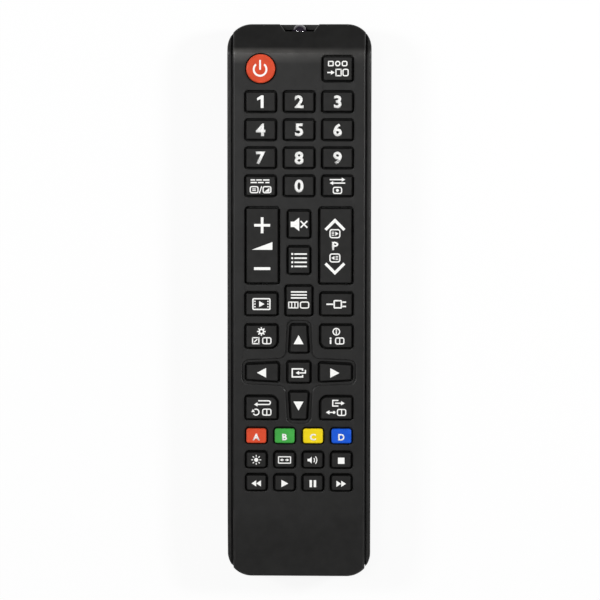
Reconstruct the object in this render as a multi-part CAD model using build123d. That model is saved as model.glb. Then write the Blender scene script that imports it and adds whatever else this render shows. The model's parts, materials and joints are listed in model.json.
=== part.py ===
from build123d import *
from collections import namedtuple
from math import atan2, cos, pi, radians, sin, sqrt, tan
import os

# A hand-held television remote control, in millimetres. The origin is the middle of
# the flat back. +Y points at the nose with the infrared lamp, +Z out of the key face.

# Case, seen from above: the plain fields round the keys set its length and width
nose_field = 10.2
tail_field = 33.9
side_field = 6.15
plan_radius = 8.5
seam_offset = 2.0  # from the side of the case to the edge of the top case
seam_width = 0.7

# Walls and fits
bottom_wall = 1.8
top_wall = 2.0
side_wall = 1.8
shell_gap = 0.2
end_seam = 0.3
top_edge = 0.8
hole_edge = 0.3
groove_depth = 1.8
rim_drop = 1.0  # the bottom case's rim lies this much below the key face
past = 1.0  # how far a cut, or the root of a joined form, runs past a surface

# Case, seen from the side
belly_radius = 6.5
back_rise = 3.0
back_rise_length = 85.0
nose_drop = 4.5
nose_slope_length = 9.2
nose_slope_radius = 6.0
tail_drop = 3.0
tail_roll_length = 24.0
end_parting = 10.0  # height of the seam across nose and tail
skirt_depth = 3.2  # how far the top case reaches down inside the side walls
skirt_end_length = 13.0

# Cells and their bay
cell_diameter = 10.5
cell_length = 44.5
cell_nub_diameter = 3.8
cell_nub_length = 1.2
cell_edge = 0.5
cell_spacing = 11.0
bay_side_gap = 0.45
bay_wall = 1.2
bay_tail_offset = 4.9
spring_length = 6.1
terminal_plate = 0.4
cell_floor_gap = 0.25
cell_roof_gap = 0.35

# Battery cover
cover_wall = 1.6
cover_recess = 0.1
cover_gap = 0.2
cover_half_width = 17.0
cover_front_offset = 5.0  # in front of the bay
cover_tail_height = 5.5
tongue_reach = 1.4
tongue_thickness = 0.7
tongue_length = 8.0
tongue_count = 3
tongue_pitch = 19.0
slot_lip = 0.85
shelf_gap = 0.3
shelf_thickness = 1.2
shelf_front = 2.1
grip_count = 6
grip_pitch = 2.2
grip_width = 1.0
grip_depth = 0.5
grip_length = 14.0
grip_offset = 7.0
arrow_mark_width = 7.0
arrow_mark_length = 4.5
arrow_mark_gap = 3.0
arrow_mark_depth = 0.3

# Case screws, under the battery cover
screw_offset = 13.5  # from the tail
screw_diameter = 2.0
screw_length = 9.0
screw_head_diameter = 3.8
screw_head_height = 1.4
screw_head_edge = 0.5
screw_head_gap = 0.2
screw_hole_gap = 0.2
screw_thread_gap = 0.05
screw_tip_gap = 0.5
screw_tip_chamfer = 0.4
screw_seat_depth = 2.0
cross_slot_width = 0.6
cross_slot_length = 2.4
cross_slot_depth = 0.8
post_wall = 0.8
post_height = 6.0
boss_diameter = 4.4
boss_gap = 0.3

# Circuit board and keypad mat
board_thickness = 1.2
board_side_gap = 0.25
board_nose_offset = 9.2
board_tail_margin = 0.5  # past the mat
board_radius = 2.0
pad_diameter = 4.0
pad_thickness = 0.05
mat_thickness = 1.1
mat_nose_offset = 8.8
mat_tail_margin = 3.7  # past the last row of keys
mat_gap = 0.3
rib_thickness = 1.2

# Keys
key_travel = 1.0
key_stop_gap = 0.05
pill_diameter = 3.4
pill_thickness = 0.35
rocker_tilt = 3.5  # degrees each way
rocker_pill_reach = 9.0
rocker_inset = 0.1  # from the outer edge of the number keys
flange_thickness = 0.55
flange_reach = 0.3
flange_roof_gap = 0.3
rocker_flange_length = 6.0
key_gap = 0.45
key_proud = 1.2
key_edge = 0.5
key_corner = 1.1
small_key_corner = 1.3
wide_corner = 2.8  # the corners that face the direction cross
cross_depth = 0.6
cross_rim = 0.95
cross_outer_radius = 2.2
cross_inner_radius = 2.6
cross_edge = 0.45

# Sizes of the key holes, across and along
power_diameter = 11.0
source_size = (11.1, 9.35)
number_size = (11.3, 7.8)
rocker_size = (12.2, 27.3)
mute_size = (8.5, 10.3)
upper_size = (11.9, 8.7)
menu_size = (10.0, 11.2)
side_size = (11.9, 8.9)
arrow_inner_width = 7.6
arrow_outer_width = 6.3
upright_arrow_length = 10.6
level_arrow_length = 12.2
enter_size = (8.7, 8.2)
colour_size = (7.9, 6.05)
small_size = (7.9, 6.4)

# Webs between the key holes
number_column_gap = 2.15
number_row_gap = 2.0
power_gap = 2.1
rocker_gap = 3.35
mute_gap = 2.3
upper_gap = 2.5
menu_lead = 1.2  # the menu key sits this much nearer the nose than its neighbours
arrow_gap = 2.4
cross_gap = 2.5
side_reach = 12.6  # from the cross row to the rows of the side keys
small_column_gap = 2.08
colour_gap = 2.25
small_row_gap = 1.7

# Infrared lamp and its notch in the nose
lamp_diameter = 5.0
lamp_length = 8.5
lamp_collar_diameter = 5.8
lamp_collar_thickness = 1.0
lamp_gap = 0.2
lamp_floor_gap = 0.15
lamp_tip_offset = 0.1
lead_width = 0.5
lead_hole_diameter = 1.0
lead_spacing = 2.54
lead_reach = 2.4
lead_proud = 0.5
notch_half_width = 6.9
notch_inner_half_width = 5.0
notch_depth = 2.6
notch_wall = 1.8
notch_edge = 0.5

# Small parts
snap_reach = 0.3
snap_height = 0.7
snap_length = 10.0
snap_offset = 0.5  # up from the edge of the skirt
snap_root = 0.5
snap_gap = 0.15
snap_count = 4
snap_pitch = 41.3
chip_size = (7.5, 12.8, 2.0)
chip_stand = 0.15
pin_count = 10  # along each side of the chip
pin_pitch = 1.27
pin_width = 0.4
pin_thickness = 0.25
pin_knee = 0.8
pin_reach = 1.5
chip_place = (2.0, 61.5)  # across, and from the nose, as all places on the board
resonator_size = (7.6, 3.2, 4.2)
resonator_corner = 1.2
resonator_place = (-9.0, 45.5)
capacitor_diameter = 5.0
capacitor_length = 8.0
capacitor_edge = 0.4
capacitor_place = (10.0, 35.5)
chip_part_size = (2.0, 1.25, 0.6)
chip_part_places = (
    (-12, 77.5), (-12, 71.5), (-12, 65.5), (12, 73.5), (12, 67.5), (8, 23.5), (-6, 21.5), (-2, 87.5), (9, 89.5)
)
spring_wire = 0.5
spring_turns = 4
spring_base_radius = 3.6
spring_tip_radius = 2.0
spring_sink = 0.1  # into its plate
tab_width = 2.0
tab_gap = 0.2
tab_top_gap = 0.1
plate_width = 8.0
plate_height = 8.6

# Key places: columns across, rows measured from the nose
number_pitch_x = number_size[0] + number_column_gap
number_pitch_y = number_size[1] + number_row_gap
key_field = number_pitch_x + number_size[0] / 2
power_row = nose_field + power_diameter / 2
number_first_row = power_row + power_diameter / 2 + power_gap + number_size[1] / 2
number_last_row = number_first_row + 3 * number_pitch_y
rocker_column = key_field - rocker_size[0] / 2 - rocker_inset
rocker_row = number_last_row + number_size[1] / 2 + rocker_gap + rocker_size[1] / 2
mute_row = rocker_row - (mute_size[1] + mute_gap) / 2 - menu_lead
list_row = rocker_row + (mute_size[1] + mute_gap) / 2 - menu_lead
upper_column = key_field - upper_size[0] / 2
upper_row = rocker_row + rocker_size[1] / 2 + upper_gap + upper_size[1] / 2
menu_row = upper_row - menu_lead
upright_arrow_reach = enter_size[1] / 2 + arrow_gap + upright_arrow_length / 2
level_arrow_reach = enter_size[0] / 2 + arrow_gap + level_arrow_length / 2
cross_half_width = level_arrow_reach + level_arrow_length / 2 + cross_rim
cross_half_length = upright_arrow_reach + upright_arrow_length / 2 + cross_rim
cross_row = menu_row + menu_size[1] / 2 + cross_gap + upright_arrow_length / 2 + upright_arrow_reach
colour_row = cross_row + upright_arrow_reach + upright_arrow_length / 2 + arrow_gap + colour_size[1] / 2
small_pitch_x = small_size[0] + small_column_gap
small_first_row = colour_row + colour_size[1] / 2 + colour_gap + small_size[1] / 2
small_last_row = small_first_row + small_size[1] + small_row_gap

# Size of the case
case_length = small_last_row + tail_field
case_width = 2 * (key_field + side_field)
nose_y = case_length / 2
tail_y = -nose_y
seam_x = case_width / 2 - seam_offset
board_half_width = seam_x - side_wall - board_side_gap

# Heights, stacked up from the back
cover_top = cover_recess + cover_wall
cell_height = cover_top + cell_floor_gap + cell_diameter / 2
bay_roof_bottom = cell_height + cell_diameter / 2 + cell_roof_gap
board_bottom = bay_roof_bottom + bay_wall
board_top = board_bottom + board_thickness
pad_top = board_top + pad_thickness
pill_bottom = pad_top + key_travel + key_stop_gap
flange_bottom = pill_bottom + pill_thickness
rocker_dip = (rocker_pill_reach + pill_diameter / 2) * sin(radians(rocker_tilt))
rocker_pill_thickness = flange_bottom - pad_top - key_stop_gap - rocker_dip
flange_top = flange_bottom + flange_thickness
roof_height = flange_top + flange_roof_gap
face_height = roof_height + top_wall
key_top = face_height + key_proud
shelf_bottom = cover_top + shelf_gap
shelf_top = shelf_bottom + shelf_thickness
lamp_height = end_parting + end_seam / 2 + lamp_floor_gap + lamp_diameter / 2

# Lengths, worked out from the tail
bay_half_width = cell_spacing / 2 + cell_diameter / 2 + bay_side_gap
bay_tail_y = tail_y + bay_tail_offset
bay_length = cell_length + spring_length + 2 * terminal_plate
bay_nose_y = bay_tail_y + bay_length
cover_front_y = bay_nose_y + cover_front_offset
opening_front_y = cover_front_y + cover_gap
opening_half_width = cover_half_width + cover_gap
slot_half_width = opening_half_width + tongue_reach
screw_x = bay_half_width + bay_wall + boss_gap + boss_diameter / 2
screw_y = tail_y + screw_offset
post_bottom = shelf_bottom
post_top = post_bottom + post_height
post_diameter = screw_head_diameter + 2 * screw_head_gap + 2 * post_wall
screw_seat = post_bottom + screw_seat_depth
board_nose_y = nose_y - board_nose_offset
mat_nose_y = nose_y - mat_nose_offset
mat_tail_y = nose_y - small_last_row - small_size[1] / 2 - mat_tail_margin
board_tail_y = mat_tail_y - board_tail_margin


def box(x0, x1, y0, y1, z0, z1):
    """A block between two corners."""
    size = Box(x1 - x0, y1 - y0, z1 - z0, align=(Align.MIN, Align.MIN, Align.MIN))
    return Pos(x0, y0, z0) * size


def both_sides(shape):
    """The shape and its mirror image on the other side of the case."""
    return shape + mirror(shape, Plane.YZ)


def rod(x, y, z0, z1, diameter):
    """An upright cylinder."""
    return Pos(x, y, z0) * extrude(Circle(diameter / 2), z1 - z0)


def arc_radius(length, rise):
    """Radius of an arc that leaves its line smoothly and rises by so much over a length."""
    return (length**2 + rise**2) / (2 * rise)


def plan(inset):
    """The case's outline from above, moved inwards."""
    return RectangleRounded(case_width - 2 * inset, case_length - 2 * inset, plan_radius - inset)


def side_form(inset, drop):
    """The case's outline from the side, as a bar right across the case.

    The back is moved in by inset and the key face down by drop.
    """
    over = 5.0
    top = face_height - drop
    rise = arc_radius(back_rise_length, back_rise)
    rise_start = nose_y - back_rise_length
    roll = arc_radius(tail_roll_length, tail_drop)
    roll_start = tail_y + tail_roll_length
    slope = atan2(nose_drop, nose_slope_length)
    slope_start = nose_y - nose_slope_length - drop * tan(slope / 2)

    def back_point(y):
        return (y, rise - sqrt((rise - inset) ** 2 - (y - rise_start) ** 2))

    def roll_point(y):
        return (y, face_height - roll + sqrt((roll - drop) ** 2 - (y - roll_start) ** 2))

    back_end = back_point(nose_y + over)
    roll_end = roll_point(tail_y - over)
    slope_end = (nose_y + over, top - (nose_y + over - slope_start) * tan(slope))
    with BuildSketch(Plane.YZ) as side:
        with BuildLine():
            Polyline([roll_end, (tail_y - over, inset), (rise_start, inset)])
            ThreePointArc((rise_start, inset), back_point((rise_start + nose_y + over) / 2), back_end)
            Polyline([back_end, slope_end, (slope_start, top), (roll_start, top)])
            ThreePointArc((roll_start, top), roll_point((roll_start + tail_y - over) / 2), roll_end)
        make_face()
        bend = side.vertices().sort_by_distance(Vector(slope_start, top))[0]
        fillet(bend, nose_slope_radius)
    return extrude(side.sketch, case_width, both=True)


def case_form(inset, drop):
    """The whole case as one solid with a rounded belly, moved in by inset."""
    form = side_form(inset, drop) & extrude(plan(inset), 2 * face_height)
    low_edges = form.edges().filter_by(lambda e: e.bounding_box().max.Z < belly_radius)
    return fillet(low_edges, belly_radius - inset)


def top_loop(form):
    """The outer edges of the upward faces: where the key face meets the side walls."""
    upward = form.faces().filter_by(lambda f: f.normal_at().Z > 0.5)
    counted = [edge for face in upward for edge in face.edges()]
    return ShapeList(e for e in counted if sum(e.is_same(other) for other in counted) == 1)


# Key outlines, each the outline of the hole and centred on the key


def rounded(size, radius):
    return RectangleRounded(size[0], size[1], radius)


def wide_cornered(size, corner_x, corner_y):
    """A rounded rectangle with one wider corner, on the side that the signs name."""
    half_x = size[0] / 2
    half_y = size[1] / 2
    corners = [(-1, -1), (1, -1), (1, 1), (-1, 1)]
    radii = [wide_corner if c == (corner_x, corner_y) else key_corner for c in corners]
    points = [(sx * half_x, sy * half_y) for sx, sy in corners]
    return make_face(FilletPolyline(*points, radius=radii, close=True))


def tapered(length, heading):
    """A direction key, narrower at its outer end, which points along heading in degrees."""
    points = [
        (-length / 2, -arrow_inner_width / 2),
        (length / 2, -arrow_outer_width / 2),
        (length / 2, arrow_outer_width / 2),
        (-length / 2, arrow_inner_width / 2),
    ]
    return Rot(0, 0, heading) * make_face(FilletPolyline(*points, radius=key_corner, close=True))


Key = namedtuple("Key", "name x y outline rocker")


def key(name, x, row, outline, rocker=False):
    return Key("key_" + name, x, nose_y - row, outline, rocker)


def key_layout():
    """Every key with its place and the outline of its hole."""
    number = rounded(number_size, key_corner)
    mute = rounded(mute_size, key_corner)
    rocker = rounded(rocker_size, key_corner)
    upper = rounded(upper_size, key_corner)
    small = rounded(small_size, small_key_corner)
    colour = rounded(colour_size, small_key_corner)
    keys = [
        key("power", -number_pitch_x, power_row, Circle(power_diameter / 2)),
        key("source", number_pitch_x, power_row, rounded(source_size, small_key_corner)),
    ]
    pad = (("1", "2", "3"), ("4", "5", "6"), ("7", "8", "9"), ("text", "0", "recall"))
    for row, names in enumerate(pad):
        for column, name in enumerate(names):
            x = (column - 1) * number_pitch_x
            keys.append(key(name, x, number_first_row + row * number_pitch_y, number))
    keys += [
        key("volume", -rocker_column, rocker_row, rocker, rocker=True),
        key("programme", rocker_column, rocker_row, rocker, rocker=True),
        key("mute", 0, mute_row, mute),
        key("list", 0, list_row, mute),
        key("media", -upper_column, upper_row, upper),
        key("menu", 0, menu_row, rounded(menu_size, key_corner)),
        key("input", upper_column, upper_row, upper),
        key("tools", -upper_column, cross_row - side_reach, wide_cornered(side_size, 1, -1)),
        key("info", upper_column, cross_row - side_reach, wide_cornered(side_size, -1, -1)),
        key("return", -upper_column, cross_row + side_reach, wide_cornered(side_size, 1, 1)),
        key("exit", upper_column, cross_row + side_reach, wide_cornered(side_size, -1, 1)),
        key("up", 0, cross_row - upright_arrow_reach, tapered(upright_arrow_length, 90)),
        key("down", 0, cross_row + upright_arrow_reach, tapered(upright_arrow_length, -90)),
        key("left", -level_arrow_reach, cross_row, tapered(level_arrow_length, 180)),
        key("right", level_arrow_reach, cross_row, tapered(level_arrow_length, 0)),
        key("enter", 0, cross_row, rounded(enter_size, key_corner)),
    ]
    lower_rows = (
        (colour_row, colour, ("red", "green", "yellow", "blue")),
        (small_first_row, small, ("picture_mode", "picture_size", "sound", "stop")),
        (small_last_row, small, ("rewind", "play", "pause", "forward")),
    )
    for row, outline, names in lower_rows:
        for column, name in enumerate(names):
            keys.append(key(name, (column - 1.5) * small_pitch_x, row, outline))
    return keys


def pill_places(key):
    """Where the carbon pills sit under a key: one, or two under a rocker."""
    if key.rocker:
        return [(key.x, key.y - rocker_pill_reach), (key.x, key.y + rocker_pill_reach)]
    return [(key.x, key.y)]


def make_key(key):
    """A silicone key: a cap through the case, a flange under it, and its carbon pills."""
    cap_outline = offset(key.outline, -key_gap)
    flange_outline = offset(key.outline, flange_reach)
    if key.rocker:
        flange_outline &= Rectangle(2 * rocker_size[0], rocker_flange_length)
    place = Pos(key.x, key.y, flange_bottom)
    cap = place * extrude(cap_outline, key_top - flange_bottom)
    cap = fillet(cap.edges().group_by(Axis.Z)[-1], key_edge)
    flange = place * extrude(flange_outline, flange_thickness)
    thickness = rocker_pill_thickness if key.rocker else pill_thickness
    pills = [rod(x, y, flange_bottom - thickness, flange_bottom, pill_diameter) for x, y in pill_places(key)]
    return [cap + flange] + pills


def mat_openings(keys):
    """The openings of the keypad mat, which every key's flange moves down into."""
    return [Pos(key.x, key.y) * offset(key.outline, flange_reach + mat_gap) for key in keys]


def cross_outline():
    """The sunk field round the direction keys, a cross with rounded corners."""
    arm = arrow_inner_width / 2 + cross_rim
    tip = arrow_outer_width / 2 + cross_rim
    quarter = [(cross_half_width, tip), (arm, arm), (tip, cross_half_length)]
    points = []
    for sx, sy in ((1, 1), (-1, 1), (-1, -1), (1, -1)):
        turn = [(sx * x, sy * y) for x, y in quarter]
        points += turn if sx == sy else turn[::-1]
    radii = [cross_outer_radius, cross_inner_radius, cross_outer_radius] * 4
    return make_face(FilletPolyline(*points, radius=radii, close=True))


def make_top_case(keys):
    """The shell with the key holes, which also forms the nose and the tail."""
    end_bottom = end_parting + end_seam / 2
    strip = plan(0) & Rectangle(2 * seam_x, 2 * case_length)
    corners = strip.vertices().filter_by(lambda v: abs(abs(v.X) - seam_x) < 1e-3)
    strip = fillet(corners, top_edge)
    outer = Pos(0, 0, end_bottom) * extrude(strip, face_height) & side_form(0, 0)
    outer = fillet(top_loop(outer), top_edge) - notch_form()
    outer = fillet(notch_sides(outer), notch_edge)

    inside = RectangleRounded(2 * (seam_x - side_wall), case_length - 2 * side_wall, plan_radius - 2 * side_wall)
    hollow = extrude(inside, 2 * face_height) & side_form(0, top_wall)
    backing = box(
        -notch_half_width - notch_wall, notch_half_width + notch_wall,
        nose_y - notch_depth - notch_wall, nose_y - side_wall, end_bottom, face_height,
    )
    hollow -= backing
    shell = outer - hollow

    skirt_bottom = roof_height - skirt_depth
    middle = nose_y - skirt_end_length
    shell -= box(-case_width, case_width, -middle, middle, 0, skirt_bottom)

    boss = rod(screw_x, screw_y, post_top, roof_height, boss_diameter)
    bore_top = screw_seat + screw_length + screw_tip_gap
    bore = rod(screw_x, screw_y, post_top, bore_top, screw_diameter + 2 * screw_thread_gap)
    shell = shell + both_sides(boss) - both_sides(bore)

    for y in snap_places():
        shell += both_sides(snap_bead(y, 0))

    shell -= lamp_bore()

    cross = Pos(0, nose_y - cross_row) * cross_outline()
    shell -= Pos(0, 0, face_height - cross_depth) * extrude(cross, 2 * cross_depth)
    holes = [Pos(key.x, key.y, roof_height - past) * extrude(key.outline, top_wall + 2 * past) for key in keys]
    shell -= holes
    shell = fillet(cross_edges(shell), cross_edge)
    return fillet(hole_edges(shell), hole_edge)


def notch_form():
    """What the lamp's notch takes out of the nose, wider towards the front."""
    back = nose_y - notch_depth
    points = [
        (-notch_half_width, nose_y), (-notch_half_width, nose_y + past), (notch_half_width, nose_y + past),
        (notch_half_width, nose_y), (notch_inner_half_width, back), (-notch_inner_half_width, back),
    ]
    return extrude(make_face(Polyline(points, close=True)), 2 * face_height)


def notch_sides(shell):
    """The upper edges of the notch's two side walls."""
    back = nose_y - notch_depth
    return shell.edges().filter_by(
        lambda e: back + 1e-3 < e.center().Y < nose_y - 1e-3
        and notch_inner_half_width < abs(e.center().X) < notch_half_width
        and e.center().Z > end_parting + end_seam
    )


def rim_wires(shell, height):
    """The rims in the flat faces at one height, the longest last."""
    flat = shell.faces().filter_by(lambda f: f.normal_at().Z > 0.99 and abs(f.center().Z - height) < 0.01)
    wires = [wire for face in flat for wire in face.inner_wires()]
    return sorted(wires, key=lambda wire: wire.length)


def cross_edges(shell):
    """The rim of the cross, which is the longest one on the key face."""
    return rim_wires(shell, face_height)[-1].edges()


def hole_edges(shell):
    """The rims of the holes, on the key face and on the floor of the cross."""
    rims = ShapeList()
    for wire in rim_wires(shell, face_height)[:-1] + rim_wires(shell, face_height - cross_depth):
        rims += wire.edges()
    return rims


def snap_places():
    return [(index - (snap_count - 1) / 2) * snap_pitch for index in range(snap_count)]


def snap_bead(y, grow):
    """A snap ridge outside the top case's skirt. With grow it is the pocket for it."""
    z = roof_height - skirt_depth + snap_offset
    return box(
        seam_x - snap_root, seam_x + shell_gap + snap_reach + grow,
        y - snap_length / 2 - grow, y + snap_length / 2 + grow,
        z - grow, z + snap_height + grow,
    )


def lamp_bore():
    """The hole behind the notch that the lamp looks out of."""
    back = nose_y - notch_depth - notch_wall - past
    circle = Plane(origin=(0, back, lamp_height), z_dir=(0, 1, 0)) * Circle(lamp_diameter / 2 + lamp_gap)
    return extrude(circle, notch_wall + 2 * past)


def make_bottom_case():
    """The shell that holds the cells, with its rim outside both side seams."""
    outer = fillet(top_loop(case_form(0, rim_drop)), top_edge)
    shell = outer - case_form(bottom_wall, -2 * top_wall)
    end_top = end_parting - end_seam / 2
    inner_x = seam_x + shell_gap
    shell -= box(-inner_x, inner_x, tail_y, nose_y, end_top, 2 * face_height)
    groove_x = seam_x + seam_width
    groove = box(-groove_x, groove_x, tail_y, nose_y, end_top, 2 * face_height)
    shell -= groove - side_form(0, rim_drop + groove_depth)

    shell += cell_bay()
    shell += both_sides(board_rib())
    shell += both_sides(rod(screw_x, screw_y, post_bottom, post_top, post_diameter))

    opening = box(
        -opening_half_width, opening_half_width, tail_y - past, opening_front_y,
        -past, cover_tail_height + cover_gap,
    )
    shell -= opening - case_form(shelf_bottom, -2 * top_wall)
    slot_root = opening_half_width - past
    slot = box(slot_root, slot_half_width, tail_y - past, opening_front_y, slot_lip, shelf_bottom)
    shell -= both_sides(slot)
    shell -= both_sides(rod(screw_x, screw_y, 0, screw_seat, screw_head_diameter + 2 * screw_head_gap))
    shell -= both_sides(rod(screw_x, screw_y, 0, post_top, screw_diameter + 2 * screw_hole_gap))
    for y in snap_places():
        shell -= both_sides(snap_bead(y, snap_gap))
    tab = box(-tab_width / 2 - tab_gap, tab_width / 2 + tab_gap, -terminal_plate - tab_gap, 0, 0, 3 * bay_wall)
    for x in (-cell_spacing / 2, cell_spacing / 2):
        shell -= Pos(x, bay_nose_y, bay_roof_bottom - bay_wall) * tab
    return shell


def cell_bay():
    """Walls and roof round the cells, and the shelf and wall that close the case under the cover."""
    outer_x = bay_half_width + bay_wall
    tail = bay_tail_y - bay_wall
    nose = bay_nose_y + bay_wall
    block = box(-outer_x, outer_x, tail, nose, shelf_bottom, board_bottom)
    block -= box(-bay_half_width, bay_half_width, bay_tail_y, bay_nose_y, 0, bay_roof_bottom)
    shelf_x = case_width / 2 - bottom_wall
    front = opening_front_y + shelf_front
    shelf = box(-shelf_x, shelf_x, tail_y, front, shelf_bottom, shelf_top)
    shelf += box(-shelf_x, shelf_x, opening_front_y, front, bottom_wall / 2, shelf_top)
    shelf -= box(-outer_x, outer_x, tail_y, bay_nose_y, 0, shelf_top)
    tail_wall = box(
        -slot_half_width, slot_half_width, tail_y, tail_y + shelf_bottom + bay_wall,
        shelf_bottom, cover_tail_height + cover_gap + bay_wall,
    )
    return (block + shelf + tail_wall) & case_form(bottom_wall / 2, 0)


def board_rib():
    """A long rib on the floor that carries the edge of the circuit board."""
    rib = box(
        board_half_width - rib_thickness, board_half_width,
        board_tail_y, board_nose_y, bottom_wall / 2, board_bottom,
    )
    return rib & case_form(bottom_wall / 2, 0)


def make_battery_cover():
    """The lid over the cells: the back's skin, with side tongues, a grip and an arrow."""
    skin = case_form(cover_recess, 0) - case_form(cover_top, -top_wall)
    cover = skin & box(-cover_half_width, cover_half_width, tail_y, cover_front_y, 0, cover_tail_height)
    first = bay_nose_y - tongue_length
    for index in range(tongue_count):
        y = first - index * tongue_pitch
        tongue = box(
            cover_half_width - past, cover_half_width + tongue_reach,
            y - tongue_length / 2, y + tongue_length / 2, cover_top - tongue_thickness, cover_top,
        )
        cover += both_sides(tongue)
    for index in range(grip_count):
        y = cover_front_y - grip_offset - index * grip_pitch
        groove = extrude(Pos(0, y) * SlotOverall(grip_length, grip_width), cover_recess + grip_depth)
        cover -= groove
    last_grip = cover_front_y - grip_offset - (grip_count - 1) * grip_pitch
    base = last_grip - grip_width / 2 - arrow_mark_gap
    corners = [(-arrow_mark_width / 2, base), (arrow_mark_width / 2, base), (0, base - arrow_mark_length)]
    arrow = make_face(Polyline(corners, close=True))
    return cover - extrude(arrow, cover_recess + arrow_mark_depth)


def make_cell():
    """One dry cell standing on its flat end, its nub upwards."""
    body_length = cell_length - cell_nub_length
    body = extrude(Circle(cell_diameter / 2), body_length)
    body = fillet(body.edges(), cell_edge)
    nub = Pos(0, 0, body_length) * extrude(Circle(cell_nub_diameter / 2), cell_nub_length)
    return body + nub


def cell_places():
    """The two cells in the bay, the left one pointing at the nose, the right one at the tail."""
    left = Pos(-cell_spacing / 2, bay_nose_y - terminal_plate - cell_length, cell_height) * Rot(-90, 0, 0)
    right = Pos(cell_spacing / 2, bay_tail_y + terminal_plate + cell_length, cell_height) * Rot(90, 0, 0)
    return left * make_cell(), right * make_cell()


def spring_point(turn):
    """Where the spring's wire is after so many turns, and which way it runs."""
    share = turn / spring_turns
    radius = spring_base_radius + (spring_tip_radius - spring_base_radius) * share
    rise = spring_length - spring_wire - spring_sink
    angle = 2 * pi * turn
    point = Vector(radius * cos(angle), radius * sin(angle), spring_wire / 2 - spring_sink + rise * share)
    shrink = (spring_tip_radius - spring_base_radius) / (2 * pi * spring_turns)
    climb = rise / (2 * pi * spring_turns)
    heading = Vector(
        shrink * cos(angle) - radius * sin(angle), shrink * sin(angle) + radius * cos(angle), climb
    )
    return point, heading.normalized()


def biarc(start, start_heading, end, end_heading):
    """Two arcs that join two points and keep both headings."""
    chord = end - start
    both = start_heading + end_heading
    lean = 2 * (1 - start_heading.dot(end_heading))
    pull = chord.dot(both)
    reach = (-pull + sqrt(pull**2 + lean * chord.dot(chord))) / lean
    middle = (start + end + (start_heading - end_heading) * reach) / 2
    first = TangentArc(start, middle, tangent=start_heading)
    return [first, TangentArc(middle, end, tangent=first % 1)]


def make_spring():
    """A conical contact spring on a wire of one length, its wide end at the origin."""
    steps = 4 * spring_turns
    places = [spring_point(step / 4) for step in range(steps + 1)]
    arcs = []
    for (start, start_heading), (end, end_heading) in zip(places, places[1:]):
        arcs += biarc(start, start_heading, end, end_heading)
    path = Wire(arcs)
    section = Plane(origin=path @ 0, z_dir=path % 0) * Circle(spring_wire / 2)
    return sweep(section, path)


def coil_gap():
    """The least gap between neighbouring turns of the spring, measured on points."""
    steps = 32
    points = [spring_point(step / steps)[0] for step in range(steps * spring_turns + 1)]
    gaps = [(b - a).length for i, a in enumerate(points) for b in points[i + steps // 2:]]
    return min(gaps) - spring_wire


def terminal_tab(x):
    """The tab of a terminal that goes up through the roof into the circuit board."""
    return box(
        x - tab_width / 2, x + tab_width / 2, bay_nose_y - terminal_plate, bay_nose_y,
        cell_height, board_top - tab_top_gap,
    )


def plate(x, y, width):
    """A flat contact plate on an end wall of the bay, from y towards the nose."""
    return box(
        x - width / 2, x + width / 2, y, y + terminal_plate,
        cell_height - plate_height / 2, cell_height + plate_height / 2,
    )


def make_terminals():
    """Negative and positive contacts at the nose end, and the bridge at the tail end."""
    x = cell_spacing / 2
    plate_y = bay_nose_y - terminal_plate
    negative_spring = Pos(x, plate_y, cell_height) * Rot(90, 0, 0) * make_spring()
    negative = plate(x, plate_y, plate_width) + terminal_tab(x)
    positive = plate(-x, plate_y, plate_width) + terminal_tab(-x)
    bridge_spring = Pos(-x, bay_tail_y + terminal_plate, cell_height) * Rot(-90, 0, 0) * make_spring()
    bridge = plate(0, bay_tail_y, cell_spacing + plate_width)
    return [negative + negative_spring], [positive], [bridge + bridge_spring]


def make_board():
    """The circuit board, with its holes for the terminals and the lamp's leads."""
    length = board_nose_y - board_tail_y
    middle = (board_nose_y + board_tail_y) / 2
    outline = Pos(0, middle) * RectangleRounded(2 * board_half_width, length, board_radius)
    hole = Rectangle(tab_width + 2 * tab_gap, terminal_plate + 2 * tab_gap)
    for x in (-cell_spacing / 2, cell_spacing / 2):
        outline -= Pos(x, bay_nose_y - terminal_plate / 2) * hole
    for x in (-lead_spacing / 2, lead_spacing / 2):
        outline -= Pos(x, lead_y()) * Circle(lead_hole_diameter / 2)
    return Pos(0, 0, board_bottom) * extrude(outline, board_thickness)


def lead_y():
    """Where the lamp's leads turn up through the board."""
    return nose_y - lamp_tip_offset - lamp_length - lead_reach


def make_pads(keys):
    """The carbon contact pads on the board, one under every pill."""
    places = [place for key in keys for place in pill_places(key)]
    return [rod(x, y, board_top, pad_top, pad_diameter) for x, y in places]


def make_mat(keys):
    """The silicone web round the keys, which lies on the board."""
    length = mat_nose_y - mat_tail_y
    outline = RectangleRounded(2 * board_half_width, length, board_radius)
    outline = Pos(0, (mat_nose_y + mat_tail_y) / 2) * outline
    outline -= mat_openings(keys)
    for x in (-lead_spacing / 2, lead_spacing / 2):
        outline -= Pos(x, lead_y()) * Circle(lead_hole_diameter / 2)
    return Pos(0, 0, board_top) * extrude(outline, mat_thickness)


def make_lamp():
    """The infrared lamp: a clear domed body with a collar and two bent leads."""
    radius = lamp_diameter / 2
    back = nose_y - lamp_tip_offset - lamp_length
    lying = Plane(origin=(0, back, lamp_height), z_dir=(0, 1, 0))
    body = extrude(lying * Circle(radius), lamp_length - radius)
    body += Pos(0, back + lamp_length - radius, lamp_height) * Sphere(radius)
    body += extrude(lying * Circle(lamp_collar_diameter / 2), lamp_collar_thickness)
    pieces = [body]
    half = lead_width / 2
    for x in (-lead_spacing / 2, lead_spacing / 2):
        along = box(x - half, x + half, lead_y() - half, back, lamp_height - half, lamp_height + half)
        top = board_top + lead_proud
        up = box(x - half, x + half, lead_y() - half, lead_y() + half, lamp_height - half, top)
        pieces.append(along + up)
    return pieces


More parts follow.
